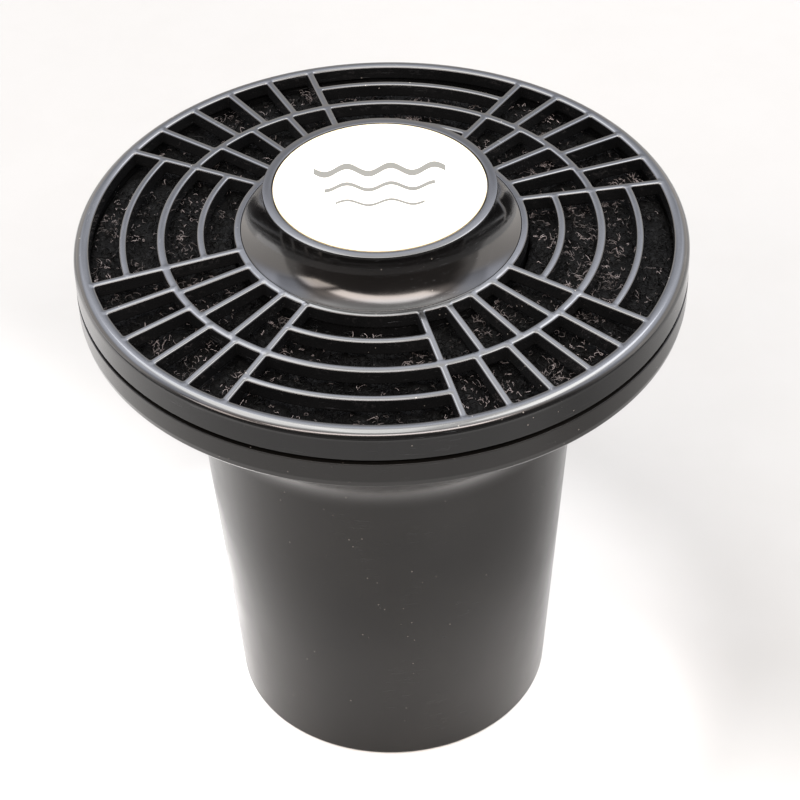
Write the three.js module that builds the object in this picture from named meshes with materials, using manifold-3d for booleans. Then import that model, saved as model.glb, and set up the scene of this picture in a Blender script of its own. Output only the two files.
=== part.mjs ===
// Slip-on diffuser for a hair dryer: a drafted neck that flares into a dished
// rim, closed by a slotted grille with a trumpet-shaped hub, over a curled-fibre
// pad. Millimetres, +Z up along the air stream; the part stands on the mouth of
// its neck, and the origin is the middle of that mouth.
import * as THREE from "three";
import { mergeVertices } from "three/addons/utils/BufferGeometryUtils.js";
import Module from "manifold-3d";

const wasm = await Module();
wasm.setup();

// ---------------------------------------------------------------- dimensions
const GAP = 0.3; // clearance between neighbouring pieces
const SEG = 48; // facets round the large turned pieces
const SEG_S = 12; // facets round the small ones

// neck and housing
const MOUTH_R = 34.64; // outer radius of the neck at the mouth
const NECK_DRAFT = 0.0732; // radius gained per mm of height
const FLARE_Z = 79.0; // height where the neck starts to flare
const FLARE_FILLET = 18.0; // radius of the flare, outside
const WALL = 2.0; // moulded wall
const CONE_Z = 105.9; // height where the 45 degree cone meets the rim band
const RIM_R = 63.5; // outer radius of the whole head
const RIM_LOW_Z = 106.8; // lower edge of the housing's rim band
const PART_Z = 112.6; // top of the housing's rim band
const PART_GAP = 0.6; // open parting line between housing and grille
const SPIGOT_R = 60.7; // outside of the spigot that the grille presses over
const SPIGOT_IN = 58.8; // inside of the spigot
const SPIGOT_Z = 114.6; // top of the spigot
const LIP_IN = 31.3; // inner lip of the mouth, which holds the grip sleeve
const LIP_H = 2.0;

// grip sleeve and its snap ring
const SLEEVE_TOP = 30.0;
const SLEEVE_WALL = 1.8;
const FINS = 16;
const FIN_IN = 24.4; // radius that the fin tips leave free
const FIN_T = 1.6;
const RING_Z = 30.3;
const RING_H = 3.0;
const RING_SEAT = 0.8; // depth of the groove in the bore
const RING_SPLIT = 7.0;

// grille
const TOP_Z = 120.1; // rim land and rib tops
const RIB_H = 3.0;
const RIM_IN = 60.3; // inner edge of the rim land
const BEAD_R = 1.9; // rounding of the rim's outer edge
const RIM_IN_EDGE = 0.7; // rounding of the rim's inner edge
const OUTER_ARC_R = 53.3; // rib circles, at the middle of the rib
const MIDDLE_R = 45.4;
const INNER_ARC_R = 37.2;
const SEAT_R = 30.35; // hub seat, outer radius
const SEAT_IN = 28.95; // inner wall of the recess that takes the hub
const SEAT_Z = 120.1; // floor of that recess
const CONE_SLOPE = 0.0722; // rise of the ribs per mm towards the hub
const RING_W = 1.7;
const RIB_W = 1.5;
const SECTORS = 8;
const SECTOR_0 = 14.4; // angle of the first sector rib
const OUTER_CELLS = 5;
const INNER_CELLS = 4;
const SEAT_T = 2.0; // thickness of the hub seat plate
const COLLAR_Z = 109.1; // lower end of the collar under the hub seat
const COLLAR_W = 1.6;
const POST_R = 20.0; // circle of the four screw posts
const POST_OD = 6.6;

// hub
const HUB_TOP = 131.9;
const HUB_TOP_R = 24.0;
const HUB_R = 28.65; // edge of the hub's flare, inside its seat
const HUB_ARC = 11.6; // radius of the flare's concave profile
const LABEL_R = 21.85;
const LABEL_T = 0.5;
const HUB_BASE = SEAT_Z + GAP;

// pad, retainer, deflector
const PAD_IN = 30.7;
const PAD_OUT = 58.3;
const PAD_Z0 = 108.8;
const PAD_Z1 = 116.8;
const PAD_BRIM_R = 60.6; // the pad's edge lies over the spigot
const RET_Z0 = 106.5;
const RET_Z1 = 108.5;
const RET_OUT = 57.4;
const DEF_FLANGE_R = 27.5;
const DEF_FLANGE_Z0 = 104.7;
const DEF_FLANGE_Z1 = 106.2;
const DEF_CONE_R = 15.0;
const DEF_TIP_Z = 92.0;

// ------------------------------------------------------------------- helpers
const coneZ = (r) => TOP_Z + CONE_SLOPE * (RIM_IN - r);
const boreAt = (z) => MOUTH_R + NECK_DRAFT * z - WALL * Math.hypot(1, NECK_DRAFT);

// A closed three.js geometry as a manifold-3d solid with its faces pointing out.
function solid(geometry) {
  const bare = new THREE.BufferGeometry();
  const src = geometry.index ? geometry.toNonIndexed() : geometry;
  bare.setAttribute("position", src.getAttribute("position").clone());
  const merged = mergeVertices(bare, 1e-4);
  const p = merged.attributes.position.array;
  const tri = [];
  let volume = 0;
  const old = merged.index.array;
  for (let i = 0; i < old.length; i += 3) {
    const [a, b, c] = [old[i], old[i + 1], old[i + 2]];
    if (a === b || b === c || a === c) continue;
    tri.push(a, b, c);
    const A = new THREE.Vector3().fromArray(p, a * 3);
    const B = new THREE.Vector3().fromArray(p, b * 3);
    const C = new THREE.Vector3().fromArray(p, c * 3);
    volume += A.dot(B.cross(C));
  }
  if (volume < 0)
    for (let i = 0; i < tri.length; i += 3)
      [tri[i + 1], tri[i + 2]] = [tri[i + 2], tri[i + 1]];
  return new wasm.Manifold(
    new wasm.Mesh({
      numProp: 3,
      vertProperties: new Float32Array(p),
      triVerts: new Uint32Array(tri),
    }),
  );
}

// A profile of [radius, z] points turned about Z. It either closes on itself
// or starts and ends on the axis.
function turned(profile, segments = SEG) {
  const points = profile.map(([r, z]) => new THREE.Vector2(r, z));
  const onAxis = profile[0][0] === 0 && profile[profile.length - 1][0] === 0;
  if (!onAxis) points.push(points[0].clone());
  const g = new THREE.LatheGeometry(points, segments);
  g.rotateX(Math.PI / 2);
  return solid(g);
}

function ring(r0, r1, z0, z1, segments = SEG) {
  return turned([[r0, z0], [r1, z0], [r1, z1], [r0, z1]], segments);
}

function rod(r, z0, z1, x = 0, y = 0, segments = SEG_S) {
  const g = new THREE.CylinderGeometry(r, r, z1 - z0, segments);
  g.rotateX(Math.PI / 2);
  g.translate(x, y, (z0 + z1) / 2);
  return solid(g);
}

// A straight bar that lies along a radius at the given angle.
function radialBar(r0, r1, width, z0, z1, degrees) {
  const g = new THREE.BoxGeometry(r1 - r0, width, z1 - z0);
  g.translate((r0 + r1) / 2, 0, (z0 + z1) / 2);
  g.rotateZ(THREE.MathUtils.degToRad(degrees));
  return solid(g);
}

// A bar bent round the axis between two angles.
function arcBar(radius, width, z0, z1, deg0, deg1) {
  const a0 = THREE.MathUtils.degToRad(deg0);
  const a1 = THREE.MathUtils.degToRad(deg1);
  const shape = new THREE.Shape();
  shape.absarc(0, 0, radius + width / 2, a0, a1, false);
  shape.absarc(0, 0, radius - width / 2, a1, a0, true);
  shape.closePath();
  const g = new THREE.ExtrudeGeometry(shape, {
    depth: z1 - z0,
    bevelEnabled: false,
    curveSegments: 6,
  });
  g.translate(0, 0, z0);
  return solid(g);
}

function arc(cx, cz, r, deg0, deg1, steps) {
  const out = [];
  for (let i = 0; i <= steps; i++) {
    const a = THREE.MathUtils.degToRad(deg0 + ((deg1 - deg0) * i) / steps);
    out.push([cx + r * Math.cos(a), cz + r * Math.sin(a)]);
  }
  return out;
}

const polar = (r, deg) => [
  r * Math.cos(THREE.MathUtils.degToRad(deg)),
  r * Math.sin(THREE.MathUtils.degToRad(deg)),
];

const part = new THREE.Group();

function add(name, made, { color, roughness, metalness = 0 }, parent = part) {
  const m = made.getMesh();
  const n = m.numProp;
  const v = new Float32Array(m.numVert * 3);
  for (let i = 0; i < m.numVert; i++)
    v.set(m.vertProperties.subarray(i * n, i * n + 3), i * 3);
  const g = new THREE.BufferGeometry();
  g.setAttribute("position", new THREE.BufferAttribute(v, 3));
  g.setIndex(new THREE.BufferAttribute(new Uint32Array(m.triVerts), 1));
  g.computeVertexNormals();
  const mesh = new THREE.Mesh(
    g,
    new THREE.MeshStandardMaterial({ color, roughness, metalness }),
  );
  mesh.name = name;
  parent.add(mesh);
  return mesh;
}

const BLACK_ABS = { color: 0x191a1c, roughness: 0.38 };
const BLACK_GLOSS = { color: 0x101012, roughness: 0.2 };
const NECK_ABS = { color: 0x1d1b19, roughness: 0.45 };
const RUBBER = { color: 0x17171a, roughness: 0.8 };
const STEEL = { color: 0xb8babd, roughness: 0.35, metalness: 1 };

// -------------------------------------------------------------- rear housing
// Neck, flare, dish and lower rim band are one moulding.
{
  const tilt = Math.atan(NECK_DRAFT);
  const tiltDeg = THREE.MathUtils.radToDeg(tilt);
  const flareR = MOUTH_R + NECK_DRAFT * FLARE_Z;
  const cx = flareR + FLARE_FILLET * Math.cos(tilt);
  const cz = FLARE_Z - FLARE_FILLET * Math.sin(tilt);
  const outerArc = arc(cx, cz, FLARE_FILLET, 180 - tiltDeg, 135, 4);
  const innerArc = arc(cx, cz, FLARE_FILLET + WALL, 135, 180 - tiltDeg, 4);
  const endOuter = outerArc[outerArc.length - 1];
  const coneAt = (z) => endOuter[0] + (z - endOuter[1]);
  const innerCone = innerArc[0][1] - innerArc[0][0]; // z minus r on the inner cone
  const seatR0 = boreAt(RING_Z) + RING_SEAT;
  const seatR1 = boreAt(RING_Z + RING_H) + RING_SEAT;
  const housing = turned([
    [LIP_IN, 0],
    [MOUTH_R - 0.4, 0],
    [MOUTH_R, 0.4],
    ...outerArc,
    [coneAt(CONE_Z), CONE_Z],
    [62.3, CONE_Z + 0.45],
    [62.95, RIM_LOW_Z + 0.35],
    [RIM_R - 0.15, RIM_LOW_Z + 1.5],
    [RIM_R, PART_Z - 0.3],
    [RIM_R - 0.3, PART_Z],
    [SPIGOT_R, PART_Z],
    [SPIGOT_R, SPIGOT_Z - 0.4],
    [SPIGOT_R - 0.4, SPIGOT_Z],
    [SPIGOT_IN, SPIGOT_Z],
    [SPIGOT_IN, SPIGOT_IN + innerCone],
    ...innerArc,
    [boreAt(RING_Z + RING_H + GAP), RING_Z + RING_H + GAP],
    [seatR1, RING_Z + RING_H + GAP],
    [seatR0, RING_Z - GAP],
    [boreAt(RING_Z - GAP), RING_Z - GAP],
    [boreAt(LIP_H), LIP_H],
    [LIP_IN, LIP_H],
  ]);
  add("rear_housing", housing, NECK_ABS);
}

// --------------------------------------------------------------- grip sleeve
// Rubber sleeve with radial fins that bend over the dryer's barrel.
{
  const z0 = LIP_H + GAP;
  const z1 = SLEEVE_TOP - GAP;
  let sleeve = turned([
    [boreAt(z0) - GAP - SLEEVE_WALL, z0],
    [boreAt(z0) - GAP, z0],
    [boreAt(z1) - GAP, z1],
    [boreAt(z1) - GAP - SLEEVE_WALL, z1],
  ]);
  for (let i = 0; i < FINS; i++)
    sleeve = sleeve.add(
      radialBar(
        FIN_IN,
        boreAt(z0) - GAP - SLEEVE_WALL / 2,
        FIN_T,
        z0 + 1.5,
        z1 - 1.5,
        (360 / FINS) * i,
      ),
    );
  add("grip_sleeve", sleeve, RUBBER);

  const r = boreAt(RING_Z) + RING_SEAT - GAP;
  const drafted = r + NECK_DRAFT * RING_H;
  const split = solid(
    new THREE.BoxGeometry(20, RING_SPLIT, 20).translate(-r, 0, RING_Z + RING_H / 2),
  );
  const snap = turned([
    [r - 3.0, RING_Z],
    [r, RING_Z],
    [drafted, RING_Z + RING_H],
    [drafted - 3.0, RING_Z + RING_H],
  ]).subtract(split);
  add("sleeve_snap_ring", snap, { color: 0x2a2a2c, roughness: 0.5 });
}

// ------------------------------------------------------------ front assembly
const front = new THREE.Group();
part.add(front);

// Grille: rim, ribs, hub seat, collar and screw posts are one moulding.
{
  const z0 = TOP_Z - RIB_H;
  const skirtIn = SPIGOT_R + GAP;
  const beadC = [RIM_R - BEAD_R, TOP_Z - BEAD_R];
  let grille = turned([
    [skirtIn, PART_Z + PART_GAP],
    [RIM_R - 0.3, PART_Z + PART_GAP],
    [RIM_R, PART_Z + PART_GAP + 0.3],
    ...arc(beadC[0], beadC[1], BEAD_R, 0, 90, 5),
    [RIM_IN + RIM_IN_EDGE, TOP_Z],
    [RIM_IN + RIM_IN_EDGE * 0.29, TOP_Z - RIM_IN_EDGE * 0.29],
    [RIM_IN, TOP_Z - RIM_IN_EDGE],
    [RIM_IN, z0],
    [skirtIn, z0],
  ]);
  const join = (s) => (grille = grille.add(s));
  const low = z0 - 1;
  const high = coneZ(SEAT_IN) + 1;
  let ribs = ring(MIDDLE_R - RING_W / 2, MIDDLE_R + RING_W / 2, low, high);
  const rib = (s) => (ribs = ribs.add(s));
  const step = 360 / SECTORS;
  for (let s = 0; s < SECTORS; s++) {
    const a = SECTOR_0 + step * s;
    rib(radialBar(SEAT_R - 0.8, RIM_IN + 0.6, RIB_W, low, high, a));
    if (s % 2 === 0) {
      for (let i = 1; i < OUTER_CELLS; i++)
        rib(radialBar(MIDDLE_R, RIM_IN + 0.6, RIB_W, low, high, a + (step / OUTER_CELLS) * i));
      for (let i = 1; i < INNER_CELLS; i++)
        rib(radialBar(SEAT_R - 0.8, MIDDLE_R, RIB_W, low, high, a + (step / INNER_CELLS) * i));
    } else {
      rib(arcBar(OUTER_ARC_R, RIB_W, low, high, a, a + step));
      rib(arcBar(INNER_ARC_R, RIB_W, low, high, a, a + step));
    }
  }
  // the ribs lie in a shallow cone that rises to the hub
  ribs = ribs.intersect(
    turned([
      [SEAT_R - 1, coneZ(SEAT_R - 1) - RIB_H],
      [RIM_IN, z0],
      [RIM_IN + 1, z0],
      [RIM_IN + 1, TOP_Z],
      [RIM_IN, TOP_Z],
      [SEAT_R - 1, coneZ(SEAT_R - 1)],
    ]),
  );
  join(ribs);
  join(
    turned([
      [2.4, SEAT_Z - SEAT_T],
      [SEAT_R - COLLAR_W, SEAT_Z - SEAT_T],
      [SEAT_R - COLLAR_W, COLLAR_Z],
      [SEAT_R, COLLAR_Z],
      [SEAT_R, coneZ(SEAT_R)],
      [SEAT_IN, coneZ(SEAT_IN)],
      [SEAT_IN, SEAT_Z],
      [2.4, SEAT_Z],
    ]),
  );
  for (let i = 0; i < 4; i++) {
    const [x, y] = polar(POST_R, 45 + 90 * i);
    join(rod(POST_OD / 2, RET_Z1 + GAP, SEAT_Z - SEAT_T + 0.5, x, y, 12));
    grille = grille.subtract(rod(1.45, 100, 116.4, x, y, 10));
  }
  add("front_grille", grille, BLACK_ABS, front);
}

// Hub: hollow trumpet with a screw boss behind and a shallow label seat on top.
{
  // flare: a concave arc from 38 degrees at its edge to nearly upright at the lip
  const edge = [HUB_R - 0.08, 122.52];
  const t0 = THREE.MathUtils.degToRad(38);
  const cx = edge[0] + HUB_ARC * Math.sin(t0);
  const cz = edge[1] + HUB_ARC * Math.cos(t0);
  const flare = arc(cx, cz, HUB_ARC, 232, 182.5, 9);
  const outer = [
    [HUB_R, HUB_BASE],
    [HUB_R, 122.4],
    ...flare,
    [HUB_TOP_R - 0.1, HUB_TOP],
  ];
  const hub = turned([
    [0, 128.4],
    [1.8, 128.4],
    [1.8, HUB_BASE],
    [4.2, HUB_BASE],
    [4.2, 129.4],
    [22.2, 129.4],
    [23.0, 126.6],
    [24.3, 123.9],
    [26.4, 121.6],
    [26.7, HUB_BASE],
    ...outer,
    [LABEL_R + 0.3, HUB_TOP],
    [LABEL_R + 0.3, HUB_TOP - LABEL_T - GAP],
    [0, HUB_TOP - LABEL_T - GAP],
  ]);
  add("hub_boss", hub, BLACK_GLOSS, front);
  add(
    "hub_label",
    rod(LABEL_R, HUB_TOP - LABEL_T, HUB_TOP, 0, 0, SEG),
    { color: 0xece6d4, roughness: 0.35 },
    front,
  );
}

// Fibre pad, as its plain outer form.
add(
  "diffuser_pad",
  turned([
    [PAD_IN, PAD_Z0],
    [PAD_OUT, PAD_Z0],
    [PAD_OUT, SPIGOT_Z + GAP],
    [PAD_BRIM_R, SPIGOT_Z + GAP],
    [PAD_BRIM_R, PAD_Z1],
    [PAD_IN, PAD_Z1 + coneZ(PAD_IN) - TOP_Z],
  ]),
  { color: 0x0b0b0c, roughness: 0.9 },
  front,
);

// Spider that holds the pad up against the grille.
{
  let spider = ring(11.0, 29.6, RET_Z0, RET_Z1, 32)
    .add(ring(43.6, 45.8, RET_Z0, RET_Z1, 40))
    .add(ring(RET_OUT - 2.4, RET_OUT, RET_Z0, RET_Z1));
  for (let i = 0; i < 8; i++)
    spider = spider.add(radialBar(28.5, RET_OUT - 1, 2.4, RET_Z0, RET_Z1, 22.5 + 45 * i));
  for (let i = 0; i < 4; i++) {
    const [x, y] = polar(POST_R, 45 + 90 * i);
    spider = spider.subtract(rod(1.6, RET_Z0 - 1, RET_Z1 + 1, x, y, 10));
  }
  add("pad_retainer", spider, { color: 0x202022, roughness: 0.5 }, front);
}

// Cone that turns the air outwards, with a flange for the four screws.
{
  const t = 1.5;
  let cone = turned([
    [0, DEF_TIP_Z],
    [2.2, DEF_TIP_Z + 0.35],
    [4.2, DEF_TIP_Z + 1.4],
    [DEF_CONE_R, DEF_FLANGE_Z0],
    [DEF_FLANGE_R - 0.3, DEF_FLANGE_Z0],
    [DEF_FLANGE_R, DEF_FLANGE_Z0 + 0.3],
    [DEF_FLANGE_R, DEF_FLANGE_Z1],
    [DEF_CONE_R - 0.6, DEF_FLANGE_Z1],
    [3.2, DEF_TIP_Z + 1.4 + 1.9],
    [0, DEF_TIP_Z + t + 0.9],
  ], 32);
  for (let i = 0; i < 4; i++) {
    const [x, y] = polar(POST_R, 45 + 90 * i);
    cone = cone.subtract(rod(1.6, DEF_FLANGE_Z0 - 1, DEF_FLANGE_Z1 + 1, x, y, 10));
  }
  add("air_deflector", cone, { color: 0x202022, roughness: 0.5 }, front);
}

// Pan-head screw with a cross recess, head down, seated at z = 0 of its own frame.
function screw(headR, headH, shankR, length) {
  let s = turned([
    [0, -headH],
    [headR * 0.72, -headH],
    [headR * 0.94, -headH * 0.72],
    [headR, -headH * 0.35],
    [headR, 0],
    [shankR, 0],
    [shankR, length - shankR],
    [0, length],
  ], SEG_S);
  for (const a of [0, 90])
    s = s.subtract(
      solid(
        new THREE.BoxGeometry(headR * 1.1, headR * 0.24, headH * 1.1)
          .rotateZ(THREE.MathUtils.degToRad(a))
          .translate(0, 0, -headH),
      ),
    );
  return s;
}

{
  const seat = SEAT_Z - SEAT_T - GAP; // face of the washer that meets the grille
  const washerT = 1.0;
  add(
    "hub_washer",
    ring(2.3, 5.4, seat - washerT, seat, 20),
    STEEL,
    front,
  );
  const hubScrew = add("hub_screw", screw(3.7, 2.5, 1.5, 11.2), STEEL, front);
  hubScrew.position.set(0, 0, seat - washerT - GAP);
  for (let i = 0; i < 4; i++) {
    const [x, y] = polar(POST_R, 45 + 90 * i);
    const s = add(`retainer_screw_${i + 1}`, screw(2.7, 1.7, 1.15, 11.2), STEEL, front);
    s.position.set(x, y, DEF_FLANGE_Z0 - GAP);
    s.rotation.z = THREE.MathUtils.degToRad(20 + 37 * i);
  }
}

export default part;
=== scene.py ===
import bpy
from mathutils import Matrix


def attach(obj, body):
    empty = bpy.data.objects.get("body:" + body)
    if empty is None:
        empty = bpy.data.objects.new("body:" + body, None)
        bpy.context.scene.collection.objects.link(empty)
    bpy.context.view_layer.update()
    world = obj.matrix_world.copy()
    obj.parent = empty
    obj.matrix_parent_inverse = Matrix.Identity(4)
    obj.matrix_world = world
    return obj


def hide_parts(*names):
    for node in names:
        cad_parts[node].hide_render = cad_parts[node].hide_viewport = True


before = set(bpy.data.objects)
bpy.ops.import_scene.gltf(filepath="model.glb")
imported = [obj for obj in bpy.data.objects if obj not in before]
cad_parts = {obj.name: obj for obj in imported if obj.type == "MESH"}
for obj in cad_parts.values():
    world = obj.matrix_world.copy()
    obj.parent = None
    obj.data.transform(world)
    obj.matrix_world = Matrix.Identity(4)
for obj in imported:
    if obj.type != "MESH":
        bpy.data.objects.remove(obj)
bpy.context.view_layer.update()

import math

import bmesh
import bpy
import numpy as np
from mathutils import Matrix, Vector
from mathutils.geometry import delaunay_2d_cdt

MM = 0.001
TAU = 2 * math.pi

# ------------------------------------------------------------------ dimensions
# Millimetres, the same as the CAD model's.
MOUTH_R, DRAFT, FLARE_Z, FLARE_R, WALL = 34.64, 0.0732, 79.0, 18.0, 2.0
RIM_R, PART_Z, PART_GAP = 63.5, 112.35, 0.85
SPIGOT_R, SPIGOT_IN, SPIGOT_Z = 60.7, 58.8, 114.6
TOP_Z, RIB_H, RIM_IN, BEAD_R = 120.1, 3.0, 60.3, 1.9
OUTER_ARC_R, MIDDLE_R, INNER_ARC_R, SEAT_R = 53.3, 45.4, 37.2, 30.35
SEAT_IN, SEAT_Z, CONE_SLOPE = 28.95, 120.1, 0.0722
RING_W, RIB_W = 1.7, 1.5
SECTOR_0 = 14.4
HUB_TOP, HUB_TOP_R, LABEL_R = 131.9, 24.0, 21.85
POST_R = 20.0
SIN = math.sin


def bore_at(z):
    return MOUTH_R + DRAFT * z - WALL * math.hypot(1, DRAFT)


def rise(r):
    """How far the cone of the ribs stands above the rim at radius r."""
    return CONE_SLOPE * np.clip(RIM_IN - np.asarray(r, float), 0.0, RIM_IN - SEAT_IN)


# ---------------------------------------------------------------------- camera
cam_data = bpy.data.cameras.new("camera")
cam = bpy.data.objects.new("camera", cam_data)
bpy.context.scene.collection.objects.link(cam)
cam_data.sensor_width = 36.0
cam_data.lens = 131.8
cam_data.clip_start, cam_data.clip_end = 0.01, 20.0
cam_data.dof.use_dof = False
_e, _roll, _d = 0.7077, -0.0266, 0.6338
_t = Vector((0.00295, 0.0, 0.07433))
_loc = _t + _d * Vector((0, -math.cos(_e), math.sin(_e)))
_fw = (_t - _loc).normalized()
_right = Vector((1, 0, 0))
_up = _right.cross(_fw)
_r2 = math.cos(_roll) * _right + math.sin(_roll) * _up
_u2 = -math.sin(_roll) * _right + math.cos(_roll) * _up
cam.matrix_world = Matrix(
    (
        (_r2.x, _u2.x, -_fw.x, _loc.x),
        (_r2.y, _u2.y, -_fw.y, _loc.y),
        (_r2.z, _u2.z, -_fw.z, _loc.z),
        (0, 0, 0, 1),
    )
)
bpy.context.scene.camera = cam


# ----------------------------------------------------------------- mesh helpers
def link(ob):
    bpy.context.scene.collection.objects.link(ob)
    return ob


def piece(name, verts, faces, material, body, replaces=(), sharp=40.0, recalc=True):
    """A mesh object from millimetre vertices, riding on a body."""
    me = bpy.data.meshes.new(name)
    v = np.asarray(verts, float) * MM
    me.from_pydata(v.tolist(), [], [tuple(int(i) for i in f) for f in faces])
    if recalc:
        bm = bmesh.new()
        bm.from_mesh(me)
        bmesh.ops.recalc_face_normals(bm, faces=bm.faces)
        bm.to_mesh(me)
        bm.free()
    me.validate()
    me.materials.append(material)
    me.shade_smooth()
    me.set_sharp_from_angle(angle=math.radians(sharp))
    ob = link(bpy.data.objects.new(name, me))
    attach(ob, body)
    if replaces:
        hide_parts(*replaces)
    return ob


def rounded(pts, n=5, closed=True, support=0.25):
    """A profile of (r, z, fillet) corners as a polyline with its corners rounded."""
    out = []
    m = len(pts)
    for i, (r, z, f) in enumerate(pts):
        p = np.array([r, z], float)
        if f <= 0 or (not closed and i in (0, m - 1)):
            out.append((r, z))
            continue
        a = np.array(pts[i - 1][:2], float)
        b = np.array(pts[(i + 1) % m][:2], float)
        u, w = a - p, b - p
        lu, lw = np.linalg.norm(u), np.linalg.norm(w)
        u, w = u / lu, w / lw
        ang = math.acos(max(-1.0, min(1.0, float(u @ w))))
        if ang > math.pi - 0.01:
            out.append((r, z))
            continue
        t = min(f / math.tan(ang / 2), 0.47 * lu, 0.47 * lw)
        f2 = t * math.tan(ang / 2)
        p0, p1 = p + u * t, p + w * t
        bis = (u + w) / np.linalg.norm(u + w)
        c = p + bis * f2 / math.sin(ang / 2)
        a0 = math.atan2(p0[1] - c[1], p0[0] - c[0])
        a1 = math.atan2(p1[1] - c[1], p1[0] - c[0])
        d = (a1 - a0 + math.pi) % TAU - math.pi
        s = min(support, 0.3 * (lu - t)), min(support, 0.3 * (lw - t))
        out.append(tuple(p0 + u * s[0]))
        for k in range(n + 1):
            q = a0 + d * k / n
            out.append((c[0] + f2 * math.cos(q), c[1] + f2 * math.sin(q)))
        out.append(tuple(p1 + w * s[1]))
    return out


def arc_pts(cx, cz, r, d0, d1, n):
    return [
        (cx + r * math.cos(math.radians(d0 + (d1 - d0) * i / n)),
         cz + r * math.sin(math.radians(d0 + (d1 - d0) * i / n)))
        for i in range(n + 1)
    ]


class Build:
    """Collects vertices and faces of one mesh."""

    def __init__(self):
        self.v, self.f = [], []

    def add(self, verts, faces):
        k = len(self.v)
        self.v.extend([tuple(map(float, p)) for p in verts])
        self.f.extend([tuple(int(i) + k for i in f) for f in faces])
        return k

    def lathe(self, profile, seg, closed=True, wobble=None):
        """Turns a profile about Z. It closes on itself, or starts and ends on the axis."""
        ang = np.arange(seg) * TAU / seg
        ca, sa = np.cos(ang), np.sin(ang)
        rows, verts = [], []
        for r, z in profile:
            if abs(r) < 1e-6:
                rows.append([len(verts)] * seg)
                verts.append((0.0, 0.0, z))
            else:
                rows.append(list(range(len(verts), len(verts) + seg)))
                verts.extend(zip(r * ca, r * sa, [z] * seg))
        faces = []
        n = len(profile)
        for i in range(n if closed else n - 1):
            a, b = rows[i], rows[(i + 1) % n]
            for j in range(seg):
                k = (j + 1) % seg
                quad = [a[j], a[k], b[k], b[j]]
                f = [q for x, q in enumerate(quad) if q not in quad[:x]]
                if len(f) >= 3:
                    faces.append(f)
        return self.add(verts, faces)


def apply_boolean(ob, cutters, op="DIFFERENCE"):
    for c in cutters:
        m = ob.modifiers.new("cut", "BOOLEAN")
        m.operation, m.solver, m.object = op, "EXACT", c
    dg = bpy.context.evaluated_depsgraph_get()
    me = bpy.data.meshes.new_from_object(ob.evaluated_get(dg))
    ob.modifiers.clear()
    old = ob.data
    ob.data = me
    bpy.data.meshes.remove(old)
    for c in cutters:
        d = c.data
        bpy.data.objects.remove(c)
        bpy.data.meshes.remove(d)
    bpy.context.view_layer.update()
    return ob


def temp(verts, faces, name="cutter"):
    me = bpy.data.meshes.new(name)
    me.from_pydata((np.asarray(verts, float) * MM).tolist(), [], [tuple(f) for f in faces])
    bm = bmesh.new()
    bm.from_mesh(me)
    bmesh.ops.recalc_face_normals(bm, faces=bm.faces)
    bm.to_mesh(me)
    bm.free()
    return link(bpy.data.objects.new(name, me))


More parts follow.
